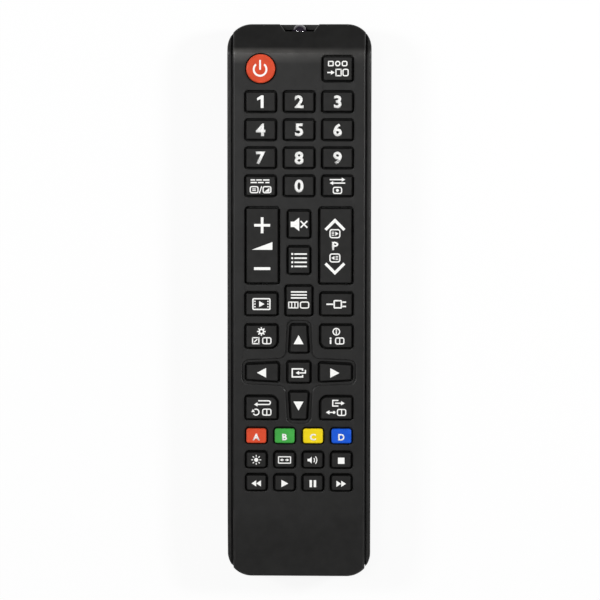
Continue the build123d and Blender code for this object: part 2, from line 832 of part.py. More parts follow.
def make_screws():
    """Two pan-head screws with a cross slot, driven up from under the battery cover."""
    head = rod(0, 0, -screw_head_height, 0, screw_head_diameter)
    head = fillet(head.edges().group_by(Axis.Z)[0], screw_head_edge)
    shaft = rod(0, 0, 0, screw_length, screw_diameter)
    shaft = chamfer(shaft.edges().group_by(Axis.Z)[-1], screw_tip_chamfer)
    screw = head + shaft
    slot = Box(cross_slot_length, cross_slot_width, 2 * cross_slot_depth)
    cross = slot + Rot(0, 0, 90) * slot
    screw -= Pos(0, 0, -screw_head_height) * cross
    return [Pos(side * screw_x, screw_y, screw_seat) * screw for side in (-1, 1)]


def board_place(place):
    """A place on the board, given across and from the nose."""
    return place[0], nose_y - place[1]


def make_chip():
    """The controller in a small-outline package under the board, with its pins."""
    width, length, height = chip_size
    x, y = board_place(chip_place)
    top = board_bottom - chip_stand
    pieces = [box(x - width / 2, x + width / 2, y - length / 2, y + length / 2, top - height, top)]
    half = pin_width / 2
    drop = chip_stand + height / 2
    inner_knee = pin_knee - pin_thickness
    pin = box(0, pin_knee, -half, half, -drop, pin_thickness - drop)
    pin += box(inner_knee, pin_knee, -half, half, -drop, 0)
    pin += box(inner_knee, pin_reach, -half, half, -pin_thickness, 0)
    for index in range(pin_count):
        pin_y = y + (index - (pin_count - 1) / 2) * pin_pitch
        pieces.append(Pos(x + width / 2, pin_y, board_bottom) * pin)
        pieces.append(Pos(x - width / 2, pin_y, board_bottom) * Rot(0, 0, 180) * pin)
    return pieces


def make_resonator():
    x, y = board_place(resonator_place)
    body = Pos(x, y, board_bottom - resonator_size[2] / 2) * Box(*resonator_size)
    return [fillet(body.edges().filter_by(Axis.Z), resonator_corner)]


def make_capacitor():
    """An electrolytic capacitor that lies under the board along the remote."""
    x, y = board_place(capacitor_place)
    lying = Plane(origin=(x, y, board_bottom - capacitor_diameter / 2), z_dir=(0, 1, 0))
    can = extrude(lying * Circle(capacitor_diameter / 2), capacitor_length)
    return [fillet(can.edges().group_by(Axis.Y)[0], capacitor_edge)]


def make_board_parts():
    """Resistors and small capacitors soldered under the board."""
    part = Box(*chip_part_size, align=(Align.CENTER, Align.CENTER, Align.MAX))
    places = [board_place(place) for place in chip_part_places]
    return [Pos(x, y, board_bottom) * part for x, y in places]


def write_node(name, pieces):
    """One STEP file with every solid of a node."""
    solids = [solid for piece in pieces for solid in piece.solids()]
    shape = solids[0] if len(solids) == 1 else Compound(children=solids)
    export_step(shape, "parts/" + name + ".step")


def main():
    os.makedirs("parts", exist_ok=True)
    keys = key_layout()
    left_cell, right_cell = cell_places()
    negative, positive, bridge = make_terminals()
    nodes = {
        "top_case": [make_top_case(keys)],
        "bottom_case": [make_bottom_case()],
        "battery_cover": [make_battery_cover()],
        "keypad_mat": [make_mat(keys)],
        "circuit_board": [make_board()],
        "contact_pads": make_pads(keys),
        "infrared_lamp": make_lamp(),
        "controller_chip": make_chip(),
        "resonator": make_resonator(),
        "capacitor": make_capacitor(),
        "board_components": make_board_parts(),
        "terminal_negative": negative,
        "terminal_positive": positive,
        "terminal_bridge": bridge,
        "battery_left": [left_cell],
        "battery_right": [right_cell],
        "case_screws": make_screws(),
    }
    for entry in keys:
        nodes[entry.name] = make_key(entry)
    for name, pieces in nodes.items():
        write_node(name, pieces)
    print("nodes:", len(nodes))
    print("key face at", round(face_height, 2), "mm, key tops at", round(key_top, 2), "mm")
    print("least gap between the spring's turns:", round(coil_gap(), 2), "mm")


main()
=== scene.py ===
# %% [markdown]
# # A television remote control
# The frame that this script loads holds every moulded piece at its real size: two case
# shells, forty-two silicone keys, a battery cover, and what lies inside. This notebook
# gives those pieces their finish, prints the keys, and dresses the cells and the lamp.

# %% Load the frame
import json
import math

import bmesh
import bpy
from mathutils import Matrix, Vector

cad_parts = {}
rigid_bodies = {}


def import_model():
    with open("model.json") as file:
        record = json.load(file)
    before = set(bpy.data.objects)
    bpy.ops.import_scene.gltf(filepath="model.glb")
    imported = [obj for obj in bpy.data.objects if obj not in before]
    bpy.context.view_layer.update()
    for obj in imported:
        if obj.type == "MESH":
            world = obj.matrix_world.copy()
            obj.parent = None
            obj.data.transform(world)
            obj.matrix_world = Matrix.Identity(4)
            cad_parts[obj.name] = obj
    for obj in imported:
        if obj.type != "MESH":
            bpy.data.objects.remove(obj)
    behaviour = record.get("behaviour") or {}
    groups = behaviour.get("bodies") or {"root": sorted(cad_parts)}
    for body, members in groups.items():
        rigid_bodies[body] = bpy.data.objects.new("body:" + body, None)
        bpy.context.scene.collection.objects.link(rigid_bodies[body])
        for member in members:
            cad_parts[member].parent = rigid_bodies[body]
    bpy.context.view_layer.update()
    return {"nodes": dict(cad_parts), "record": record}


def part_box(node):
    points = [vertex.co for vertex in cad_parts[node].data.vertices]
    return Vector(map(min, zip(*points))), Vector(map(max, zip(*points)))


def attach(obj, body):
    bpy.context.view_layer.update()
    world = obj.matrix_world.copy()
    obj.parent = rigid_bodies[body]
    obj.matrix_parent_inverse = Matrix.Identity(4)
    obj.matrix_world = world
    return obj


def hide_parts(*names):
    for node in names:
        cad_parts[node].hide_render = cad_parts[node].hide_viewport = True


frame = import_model()
nodes = frame["nodes"]
mm = 0.001
bodies = frame["record"]["behaviour"]["bodies"]
body_of_node = {node: body for body, group in bodies.items() for node in group}
slot_of_node = {entry["node"]: entry["material_slot"] for entry in frame["record"]["subparts"]}
key_nodes = sorted(name for name in nodes if name.startswith("key_"))
print("nodes", len(nodes), "keys", len(key_nodes))

# %% [markdown]
# ## The camera
# The picture was taken from straight above, from about 0.9 m, with the camera a few
# degrees towards the nose and a little to the right, which shows in how far the keys
# stand from the rim. A long lens at that distance keeps the long sides of the remote
# nearly parallel. A look-at matrix places the camera, so no angles are typed in.

# %% Camera
camera_distance = 900 * mm
camera_tilt = math.radians(3.7)
camera_side = math.radians(1.6)
camera_roll = math.radians(0.06)
picture_focal = 2541.6  # focal length in pixels of the 600-pixel picture
picture_size = 600.0
sensor_width = 36.0


def look_from(place, target, up):
    """A matrix that stands at place and looks at target."""
    back = (place - target).normalized()
    right = up.cross(back).normalized()
    turn = Matrix((right, back.cross(right), back)).transposed().to_4x4()
    return Matrix.Translation(place) @ turn


camera_data = bpy.data.cameras.new("camera")
camera_data.sensor_width = sensor_width
camera_data.lens = sensor_width * picture_focal / picture_size
camera = bpy.data.objects.new("camera", camera_data)
bpy.context.scene.collection.objects.link(camera)
camera_target = Vector((0.15 * mm, 0.4 * mm, 12 * mm))
camera_up = Vector((-math.sin(camera_roll), math.cos(camera_roll), 0))
camera_way = Vector((math.tan(camera_side), math.tan(camera_tilt), 1)).normalized()
camera.matrix_world = look_from(camera_target + camera_way * camera_distance, camera_target, camera_up)
bpy.context.scene.camera = camera
print("lens", round(camera_data.lens, 1), "mm")

# %% [markdown]
# ## The floor
# The remote lies on a white sheet. The floor is a real white surface that takes the
# remote's shadow. Where the camera sees it, straight or in a reflection, part of it
# glows, which lifts the background to white without throwing more light on the black
# plastic. A brighter lamp would do the same, but it would grey the remote as well.

# %% Floor
floor_half = 1.5
floor_gap = 0.02 * mm
floor_glow = 0.9


def finish_mesh(bm, name, material):
    """Turns a bmesh into an object at the origin."""
    mesh = bpy.data.meshes.new(name)
    bm.to_mesh(mesh)
    bm.free()
    mesh.materials.append(material)
    piece = bpy.data.objects.new(name, mesh)
    bpy.context.scene.collection.objects.link(piece)
    return piece


def seen_by(tree, rays):
    """One for the kinds of ray that are named, and nothing for the others."""
    path = tree.nodes.new("ShaderNodeLightPath")
    seen = path.outputs[rays[0]]
    for ray in rays[1:]:
        either = tree.nodes.new("ShaderNodeMath")
        either.operation = "MAXIMUM"
        tree.links.new(seen, either.inputs[0])
        tree.links.new(path.outputs[ray], either.inputs[1])
        seen = either.outputs[0]
    return seen


def blend_shaders(tree, share, first, second, output):
    """Sends a mix of two shaders to an output, by the share of the second."""
    blend = tree.nodes.new("ShaderNodeMixShader")
    tree.links.new(share, blend.inputs["Fac"])
    tree.links.new(first.outputs[0], blend.inputs[1])
    tree.links.new(second.outputs[0], blend.inputs[2])
    tree.links.new(blend.outputs[0], tree.nodes[output].inputs["Surface"])


def floor_material():
    """White, with a glow that the camera sees, and that metal and resin mirror."""
    material = bpy.data.materials.new("white_sheet")
    material.use_nodes = True
    tree = material.node_tree
    shader = tree.nodes["Principled BSDF"]
    shader.inputs["Base Color"].default_value = (0.92, 0.92, 0.92, 1)
    shader.inputs["Roughness"].default_value = 0.8
    glow = tree.nodes.new("ShaderNodeEmission")
    seen = seen_by(tree, ("Is Camera Ray", "Is Glossy Ray", "Is Transmission Ray"))
    share = tree.nodes.new("ShaderNodeMath")
    share.operation = "MULTIPLY"
    share.inputs[1].default_value = floor_glow
    tree.links.new(seen, share.inputs[0])
    blend_shaders(tree, share.outputs[0], shader, glow, "Material Output")
    return material


bm = bmesh.new()
bmesh.ops.create_grid(bm, x_segments=1, y_segments=1, size=floor_half)
bmesh.ops.translate(bm, verts=bm.verts, vec=(0, 0, -floor_gap))
floor = finish_mesh(bm, "white_sheet", floor_material())
print("floor", 2 * floor_half, "m across")

# %% [markdown]
# ## The light
# Four soft panels and an even grey sky do the lighting: one panel above the nose, a
# faint one at the tail, and one at each side that draws the thin bright lines on the
# rounded edges. Small panels far away keep those lines thin, and the sky fills the gaps
# between the keys a little. The camera and the resin see a white backdrop instead.

# %% Light
sky_level = 0.15
white = (1, 1, 1, 1)


def panel(name, place, size, power):
    """A soft light panel that faces the remote."""
    light = bpy.data.lights.new(name, "AREA")
    light.shape = "RECTANGLE"
    light.size, light.size_y = size
    light.energy = power
    lamp = bpy.data.objects.new(name, light)
    lamp.matrix_world = look_from(Vector(place), Vector((0, 0, 0)), Vector((0, 1, 0)))
    bpy.context.scene.collection.objects.link(lamp)


panel("panel_nose", (-0.2, 0.16, 1.15), (0.25, 0.2), 2.3)
panel("panel_tail", (0.1, -0.75, 0.7), (0.5, 0.2), 0.7)
panel("panel_left", (-0.62, 0.2, 0.6), (0.2, 0.14), 3.5)
panel("panel_right", (0.6, 0.18, 0.5), (0.12, 0.12), 3.8)

world = bpy.data.worlds.new("studio")
bpy.context.scene.world = world
world.use_nodes = True
tree = world.node_tree
sky = tree.nodes["Background"]
backdrop = tree.nodes.new("ShaderNodeBackground")
for background, level in ((sky, sky_level), (backdrop, 1.0)):
    background.inputs["Color"].default_value = white
    background.inputs["Strength"].default_value = level
blend_shaders(tree, seen_by(tree, ("Is Camera Ray", "Is Transmission Ray")), sky, backdrop, "World Output")
bpy.context.scene.view_settings.view_transform = "Standard"

# %% [markdown]
# ## Finishes
# Every finish starts from the Principled shader and gets its detail from noise in Object
# coordinates, which are metres here, so a noise scale of 4000 means a quarter of a
# millimetre. One helper makes the three layers that moulded pieces share: a faint change
# of colour, patches that shine more or less, and a bump.

# %% Material helpers


def base_material(name, roughness, metallic=0.0, **sockets):
    """A Principled material and the pieces of its tree that the finishes use."""
    material = bpy.data.materials.new(name)
    material.use_nodes = True
    tree = material.node_tree
    shader = tree.nodes["Principled BSDF"]
    shader.inputs["Roughness"].default_value = roughness
    shader.inputs["Metallic"].default_value = metallic
    for socket, value in sockets.items():
        shader.inputs[socket.replace("_", " ")].default_value = value
    return material, tree, shader


def noise(tree, scale, detail=3.0, roughness=0.55, stretch=(1, 1, 1)):
    """Noise in Object coordinates, stretched along the axes if asked."""
    place = tree.nodes.new("ShaderNodeTexCoord")
    mapping = tree.nodes.new("ShaderNodeMapping")
    mapping.inputs["Scale"].default_value = stretch
    texture = tree.nodes.new("ShaderNodeTexNoise")
    texture.inputs["Scale"].default_value = scale
    texture.inputs["Detail"].default_value = detail
    texture.inputs["Roughness"].default_value = roughness
    tree.links.new(place.outputs["Object"], mapping.inputs["Vector"])
    tree.links.new(mapping.outputs["Vector"], texture.inputs["Vector"])
    return texture.outputs["Fac"]


def spread(tree, value, low, high, out_low, out_high):
    """Maps a value's working range onto another range."""
    remap = tree.nodes.new("ShaderNodeMapRange")
    remap.inputs["From Min"].default_value = low
    remap.inputs["From Max"].default_value = high
    remap.inputs["To Min"].default_value = out_low
    remap.inputs["To Max"].default_value = out_high
    tree.links.new(value, remap.inputs["Value"])
    return remap.outputs["Result"]


def mixed(tree, factor, first, second):
    """A colour between two, each a colour or another node's output."""
    mix = tree.nodes.new("ShaderNodeMix")
    mix.data_type = "RGBA"
    tree.links.new(factor, mix.inputs["Factor"])
    for socket, colour in ((6, first), (7, second)):
        if isinstance(colour, tuple):
            mix.inputs[socket].default_value = (*colour, 1)
        else:
            tree.links.new(colour, mix.inputs[socket])
    return mix.outputs[2]


def arithmetic(tree, operation, *terms):
    """One step of arithmetic on numbers or outputs."""
    step = tree.nodes.new("ShaderNodeMath")
    step.operation = operation
    for place, term in enumerate(terms):
        if isinstance(term, (int, float)):
            step.inputs[place].default_value = term
        else:
            tree.links.new(term, step.inputs[place])
    return step.outputs[0]


def attribute(tree, name):
    """A number that the mesh carries."""
    node = tree.nodes.new("ShaderNodeAttribute")
    node.attribute_name = name
    return node.outputs["Fac"]


def bump(tree, shader, height, strength, distance):
    """Adds a bump to the shader, on top of any bump that it has."""
    node = tree.nodes.new("ShaderNodeBump")
    node.inputs["Strength"].default_value = strength
    node.inputs["Distance"].default_value = distance
    if shader.inputs["Normal"].is_linked:
        tree.links.new(shader.inputs["Normal"].links[0].from_socket, node.inputs["Normal"])
    tree.links.new(height, node.inputs["Height"])
    tree.links.new(node.outputs["Normal"], shader.inputs["Normal"])


def moulded(name, dark, light, roughness, grain, grain_strength, patches, **sockets):
    """A moulded finish: faint mottling, handled patches and a fine grain."""
    material, tree, shader = base_material(name, roughness, **sockets)
    mottle = spread(tree, noise(tree, patches, 4.0), 0.35, 0.65, 0.0, 1.0)
    tree.links.new(mixed(tree, mottle, dark, light), shader.inputs["Base Color"])
    handled = spread(tree, noise(tree, patches * 0.4, 2.0), 0.3, 0.7, roughness - 0.06, roughness + 0.06)
    tree.links.new(handled, shader.inputs["Roughness"])
    bump(tree, shader, noise(tree, grain, 2.0), grain_strength, 0.03 * mm)
    return material


# %% [markdown]
# ## The case plastic
# The shells are black ABS from a spark-eroded mould, which prints a fine even grain on
# every outer face. Use wears that grain smooth along the edges first. The edge faces
# carry an attribute, measured below, and where it is set the plastic turns a little
# lighter and shinier. The bend between the key face and the nose gets a painted highlight:
# a much lighter colour, strongest on the left and fainter to the right, with a lower
# roughness for wear. That patch is too soft for an attribute on whole faces, so it follows Object
# coordinates.

# %% Case plastic
case_dark = (0.0074, 0.0072, 0.0069)
case_light = (0.0104, 0.0102, 0.0098)
worn_colour = (0.022, 0.0215, 0.021)
# The bend's colour is a painted highlight, far lighter than the plastic, standing in for the sheen of the
# nose lamp.
bend_painted_highlight = (0.070, 0.067, 0.063)
worn_gloss = -0.14  # what full wear adds to the roughness
bend_gloss = -0.12
bend_start = (83.5 * mm, 87.0 * mm)  # along the remote, where the painted highlight and its wear set in
bend_stop = (88.0 * mm, 89.4 * mm)
bend_above = (17.0 * mm, 18.5 * mm)  # heights, so that nothing below the key face gets the painted highlight or the wear
bend_inside = (23.0 * mm, 23.6 * mm)  # from the middle line to the seams
bend_fade = (-21.0 * mm, 18.0 * mm)  # across the remote, where the patch grows fainter
bend_right = 0.3  # the share of it that is left on the right


def bend_highlight_and_wear(tree):
    """How strong the painted highlight and the wear are on the bend of the nose."""
    place = tree.nodes.new("ShaderNodeTexCoord")
    split = tree.nodes.new("ShaderNodeSeparateXYZ")
    tree.links.new(place.outputs["Object"], split.inputs["Vector"])
    x, y, z = split.outputs
    wear = spread(tree, y, *bend_start, 0.0, 1.0)
    for limit in (
        spread(tree, y, *bend_stop, 1.0, 0.0),
        spread(tree, z, *bend_above, 0.0, 1.0),
        spread(tree, arithmetic(tree, "ABSOLUTE", x), *bend_inside, 1.0, 0.0),
        spread(tree, x, *bend_fade, 1.0, bend_right),
        spread(tree, noise(tree, 240.0, 3.0), 0.3, 0.7, 0.6, 1.0),
    ):
        wear = arithmetic(tree, "MULTIPLY", wear, limit)
    return wear


def case_plastic():
    """Black grained plastic that is rubbed along its edges, with a painted highlight on the bend of the
    nose.
    """
    material, tree, shader = base_material("case_plastic", 0.5, Specular_IOR_Level=0.32)
    mottle = spread(tree, noise(tree, 260.0, 4.0), 0.35, 0.65, 0.0, 1.0)
    patchy = spread(tree, noise(tree, 220.0, 3.0), 0.38, 0.6, 0.15, 1.0)
    rubbed = arithmetic(tree, "MULTIPLY", attribute(tree, "edge_wear"), patchy)
    # This share mixes in the painted highlight colour and lowers the roughness for wear.
    bend_sheen_and_wear = bend_highlight_and_wear(tree)
    colour = mixed(tree, rubbed, mixed(tree, mottle, case_dark, case_light), worn_colour)
    tree.links.new(mixed(tree, bend_sheen_and_wear, colour, bend_painted_highlight), shader.inputs["Base Color"])
    handled = spread(tree, noise(tree, 60.0, 2.0), 0.3, 0.7, 0.43, 0.52)
    handled = arithmetic(tree, "MULTIPLY_ADD", bend_sheen_and_wear, bend_gloss, handled)
    tree.links.new(arithmetic(tree, "MULTIPLY_ADD", rubbed, worn_gloss, handled), shader.inputs["Roughness"])
    bump(tree, shader, noise(tree, 2600.0, 3.0, 0.6), 0.3, 0.03 * mm)
    return material


case_finish = case_plastic()
print(case_finish.name, "shader nodes", len(case_finish.node_tree.nodes))

# %% [markdown]
# ## Shells that shade smoothly
# A frame mesh is a loose heap of triangles, so its rounded edges would shade as flat
# strips. Its own mesh stays as it is. Each shell is a copy: the triangles are merged, and
# edges under 32 degrees are shaded smooth. A Weighted Normal modifier then takes the
# direction at each corner from the strongest face there, and the faces of every large
# flat region are marked as strong, so it stays flat to its very rim. While the copy is
# open, the narrow faces of the rounded edges are found, and their attribute is set for
# the worn finish.

# %% Smooth copies
merge_distance = 0.002 * mm
sharp_angle = math.radians(32)
edge_face_area = 4.0 * mm * mm
edge_bend = (math.radians(1.5), math.radians(35))  # between two faces of a rounded edge
flat_angle = math.radians(0.1)
flat_region_area = 60.0 * mm * mm
strong_face = 16384  # the strengths that the modifier knows are this, 0 and its negative


def is_rounded(face):
    """True for a narrow face that bends away from its neighbours, as on a rounded edge.

    The bend of the nose and the roll of the tail lean a little to one end, and don't count.
    """
    least, most = edge_bend
    turned = any(least < edge.calc_face_angle(0) < most for edge in face.edges)
    leans_to_an_end = abs(face.normal.x) < 0.01 and face.normal.z > 0.95
    return turned and not leans_to_an_end and face.calc_area() < edge_face_area


def mark_flat_regions(bm):
    """Marks the faces of each large flat region as strong."""
    strength = bm.faces.layers.int.new("__mod_weightednormals_faceweight")
    seen = set()
    for seed in bm.faces:
        if seed in seen:
            continue
        seen.add(seed)
        region = [seed]
        for face in region:
            for edge in face.edges:
                if edge.calc_face_angle(1) > flat_angle:
                    continue
                for other in edge.link_faces:
                    if other not in seen:
                        seen.add(other)
                        region.append(other)
        if sum(face.calc_area() for face in region) > flat_region_area:
            for face in region:
                face[strength] = strong_face
    return strength


def smooth_copy(name, material):
    """A merged, smoothly shaded copy of a CAD node, which it replaces."""
    bm = bmesh.new()
    bm.from_mesh(nodes[name].data)
    bmesh.ops.remove_doubles(bm, verts=bm.verts, dist=merge_distance)
    bmesh.ops.dissolve_degenerate(bm, edges=bm.edges, dist=merge_distance)
    strength = mark_flat_regions(bm)
    wear = bm.faces.layers.float.new("edge_wear")
    for face in bm.faces:
        face.smooth = True
        face.material_index = 0
        face[wear] = float(face[strength] != strong_face and is_rounded(face))
    for edge in bm.edges:
        edge.smooth = edge.calc_face_angle(0) < sharp_angle
    piece = finish_mesh(bm, name + "_shell", material)
    flat = piece.modifiers.new("flat_faces", "WEIGHTED_NORMAL")
    flat.keep_sharp = True
    flat.use_face_influence = True
    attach(piece, body_of_node[name])
    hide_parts(name)
    return piece


for name in ("top_case", "bottom_case", "battery_cover"):
    shell = smooth_copy(name, case_finish)
    print(name, "faces", len(shell.data.polygons))

# %% [markdown]
# ## Silicone keys
# The keys are one moulding of silicone rubber on the real remote: soft, matt, and a
# little lighter where fingers polish them. The colour is in the rubber, not painted on,
# so each colour is the same recipe with other pigments. The rims and sides of the black
# keys take a second material on the same mesh: duller, as the mould skin is, and much
# darker, which is painted shade for the shade that falls between the keys.

# %% Key rubber
rubber_colours = {
    "key_black": ((0.0088, 0.0086, 0.0082), (0.0125, 0.0122, 0.0118)),
    "key_red": ((0.62, 0.058, 0.016), (0.70, 0.070, 0.022)),
    "key_green": ((0.040, 0.34, 0.048), (0.055, 0.40, 0.062)),
    "key_yellow": ((0.80, 0.60, 0.0), (0.88, 0.67, 0.004)),
    "key_blue": ((0.0, 0.080, 0.60), (0.004, 0.100, 0.68)),
}
rubber = {
    slot: moulded(slot, dark, light, 0.55, 3200.0, 0.25, 420.0, Specular_IOR_Level=0.26)
    for slot, (dark, light) in rubber_colours.items()
}
# The rim colours are painted shade: darker than the tops, for the shade between the keys.
rim_painted_shade_dark = (0.0034, 0.0033, 0.0032)
rim_painted_shade_light = (0.0048, 0.0047, 0.0045)
painted_shade_rim_rubber = moulded("key_rim", rim_painted_shade_dark, rim_painted_shade_light, 0.7, 3200.0, 0.25, 420.0, Specular_IOR_Level=0.1)
level_face = math.cos(math.radians(20))


def paint_shade_on_rims(piece):
    """Gives the faces of a key that aren't level a duller rubber, darker with painted shade."""
    piece.data.materials.append(painted_shade_rim_rubber)
    for face in piece.data.polygons:
        face.material_index = int(abs(face.normal.z) < level_face)


for name in key_nodes:
    key = smooth_copy(name, rubber[slot_of_node[name]])
    if slot_of_node[name] == "key_black":
        paint_shade_on_rims(key)
print("rubbers", sorted(rubber), "and", painted_shade_rim_rubber.name)

# %% [markdown]
# The coloured rubber fills only the cap. The foot of each coloured key, down in its hole,
# is black like the web it grows from, which is why every key stands in a dark ring. The
# copy is cut once with a level plane, and the faces under it take the black rubber.

# %% Black feet
cap_foot = 19.25 * mm


def blacken_foot(name):
    """Gives the part of a key below its cap the black rubber."""
    mesh = bpy.data.objects[name + "_shell"].data
    bm = bmesh.new()
    bm.from_mesh(mesh)
    bmesh.ops.bisect_plane(
        bm, geom=bm.verts[:] + bm.edges[:] + bm.faces[:], plane_co=(0, 0, cap_foot), plane_no=(0, 0, 1),
    )
    for face in bm.faces:
        face.material_index = int(face.calc_center_median().z < cap_foot)
    bm.to_mesh(mesh)
    bm.free()
    mesh.materials.append(rubber["key_black"])


coloured_keys = [name for name in key_nodes if slot_of_node[name] != "key_black"]
for name in coloured_keys:
    blacken_foot(name)
print("coloured keys", len(coloured_keys))

# %% [markdown]
# ## Prints on the keys
# On the real remote the marks are white silicone ink, screen-printed on the caps, so
# they stand a few hundredths of a millimetre proud. Each print is drawn flat in
# millimetres round the middle of its key, from bars, rings, frames and small outlines,
# then the whole drawing is extruded to the thickness of the ink. An image would give
# soft edges close up; real ink has a thickness and a crisp rim, and so has this. These
# are the strokes that all the drawings share.

# %% Drawing helpers


def outline(bm, points):
    """A flat shape with the given corners."""
    bm.faces.new([bm.verts.new((x, y, 0)) for x, y in points])


def bar(bm, x, y, width, height, turn=0.0):
    """A rectangle round x, y, turned by so many degrees."""
    place = Matrix.Translation((x, y, 0)) @ Matrix.Rotation(math.radians(turn), 4, "Z")
    size = Matrix.Diagonal((width, height, 1, 1))
    bmesh.ops.create_grid(bm, x_segments=1, y_segments=1, size=0.5, matrix=place @ size)


def disc(bm, x, y, radius, segments=24):
    """A filled circle."""
    place = Matrix.Translation((x, y, 0))
    bmesh.ops.create_circle(bm, cap_ends=True, segments=segments, radius=radius, matrix=place)


def arc(bm, x, y, radius, stroke, start, sweep):
    """A ring or a part of one, swept from start by so many degrees."""
    begin = math.radians(start)
    reach = [radius - stroke / 2, radius + stroke / 2]
    ends = [bm.verts.new((x + r * math.cos(begin), y + r * math.sin(begin), 0)) for r in reach]
    edge = bm.edges.new(ends)
    bmesh.ops.spin(
        bm, geom=[*ends, edge], cent=(x, y, 0), axis=(0, 0, 1), angle=math.radians(sweep),
        steps=max(8, abs(int(sweep)) // 10), use_merge=abs(sweep) >= 360,
    )


def rounded_frame(bm, x, y, width, height, corner, stroke):
    """The rim of a rounded rectangle, such as the sign for a screen."""
    corner_steps = 4
    points = 4 * (corner_steps + 1)
    place = Matrix.Translation((x, y, 0)) @ Matrix.Diagonal((width, height, 1, 1))
    corners = bmesh.ops.create_grid(bm, x_segments=1, y_segments=1, size=0.5, matrix=place)["verts"]
    bmesh.ops.bevel(
        bm, geom=corners, offset=corner, offset_type="OFFSET", segments=corner_steps, profile=0.5,
        affect="VERTICES", material=-1,
    )
    middle = Vector((x, y, 0))
    face = min(bm.faces, key=lambda f: abs(len(f.verts) - points) + (f.calc_center_bounds() - middle).length)
    bmesh.ops.inset_region(bm, faces=[face], thickness=stroke, use_boundary=True, use_even_offset=True)
    bmesh.ops.delete(bm, geom=[face], context="FACES_ONLY")


def triangle(bm, x, y, width, height, heading):
    """A filled arrow head round x, y that points along heading in degrees."""
    turn = Matrix.Rotation(math.radians(heading), 2)
    corners = [(-height / 2, -width / 2), (height / 2, 0), (-height / 2, width / 2)]
    outline(bm, [tuple(Vector((x, y)) + turn @ Vector(corner)) for corner in corners])


def plus_sign(bm, x, y, reach, stroke):
    """A plus, drawn as one outline of twelve corners."""
    half = stroke / 2
    quarter = [(reach, -half), (reach, half), (half, half)]
    corners = []
    for quarter_turn in range(4):
        turn = Matrix.Rotation(math.radians(90 * quarter_turn), 2)
        corners += [tuple(Vector((x, y)) + turn @ Vector(corner)) for corner in quarter]
    outline(bm, corners)


# %% [markdown]
# Figures and letters come from the font that is built into Blender. The text curve
# becomes a mesh first, and the mesh is then brought to its height and moved. Its corners
# hold the place, and the finished print's object stays at the origin.

# %% Lettering helper
stray_gap = 0.002  # corners of a letter that lie closer than this are one corner


def lettering(bm, text, x, y, height, boldness, width_scale):
    """A figure or letter from the built-in font, made bold, its middle at x, y."""
    curve = bpy.data.curves.new("lettering", "FONT")
    curve.body = text
    curve.offset = boldness
    curve.resolution_u = 6
    letter = bpy.data.objects.new("lettering", curve)
    mesh = bpy.data.meshes.new_from_object(letter)
    before = len(bm.verts)
    bm.from_mesh(mesh)
    bm.verts.ensure_lookup_table()
    verts = bm.verts[before:]
    low = Vector([min(v.co[i] for v in verts) for i in range(3)])
    high = Vector([max(v.co[i] for v in verts) for i in range(3)])
    scale = height / (high.y - low.y)
    bmesh.ops.translate(bm, verts=verts, vec=-(low + high) / 2)
    bmesh.ops.scale(bm, verts=verts, vec=(scale * width_scale, scale, 1))
    bmesh.ops.translate(bm, verts=verts, vec=(x, y, 0))
    bmesh.ops.remove_doubles(bm, verts=verts, dist=stray_gap)
    bpy.data.objects.remove(letter)
    bpy.data.curves.remove(curve)
    bpy.data.meshes.remove(mesh)


# %% [markdown]
# The ink is white but not perfect: it has faint grey rubbed spots here and there, and
# its surface is a little uneven from the screen. The printing step runs a drawing,
# gives it the ink's thickness and lays it on its key.

# %% Ink and the printing step
ink_thickness = 0.05
ink_sink = 0.01  # into the rubber, so no gap shows
ink_material, tree, shader = base_material("white_ink", 0.55, Specular_IOR_Level=0.3)
rub = spread(tree, noise(tree, 900.0, 4.0), 0.58, 0.75, 0.0, 1.0)
tree.links.new(mixed(tree, rub, (0.94, 0.94, 0.92), (0.70, 0.70, 0.68)), shader.inputs["Base Color"])
bump(tree, shader, noise(tree, 5200.0, 2.0), 0.2, 0.01 * mm)


def key_middle(name):
    """The middle of a key's top, in millimetres."""
    low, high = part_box(name)
    return Vector(((low[0] + high[0]) / 2, (low[1] + high[1]) / 2, high[2])) / mm


def thicken(bm):
    """Gives a flat drawing the thickness of the ink."""
    bm.normal_update()
    bmesh.ops.reverse_faces(bm, faces=[face for face in bm.faces if face.normal.z < 0])
    lifted = bmesh.ops.extrude_face_region(bm, geom=bm.faces[:], use_keep_orig=True)["geom"]
    top = [item for item in lifted if isinstance(item, bmesh.types.BMVert)]
    bmesh.ops.translate(bm, verts=top, vec=(0, 0, ink_thickness))
    bmesh.ops.recalc_face_normals(bm, faces=bm.faces)


def print_on(name, draw):
    """Runs a drawing and lays it on its key as a thin print."""
    bm = bmesh.new()
    draw(bm)
    thicken(bm)
    bmesh.ops.translate(bm, verts=bm.verts, vec=key_middle(name) - Vector((0, 0, ink_sink)))
    bmesh.ops.scale(bm, verts=bm.verts, vec=(mm, mm, mm))
    piece = finish_mesh(bm, name.replace("key_", "print_"), ink_material)
    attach(piece, body_of_node[name])


def count_prints():
    """How many keys have their print."""
    return sum(piece.name.startswith("print_") for piece in bpy.data.objects)


# %% [markdown]
# ## Figures and letters
# The ten figures are the largest prints. The built-in font is a plain sans, which an
# offset thickens to the bold strokes of the real keys. Its 1 is a bare stroke, so that
# figure is drawn as an outline with its flag.

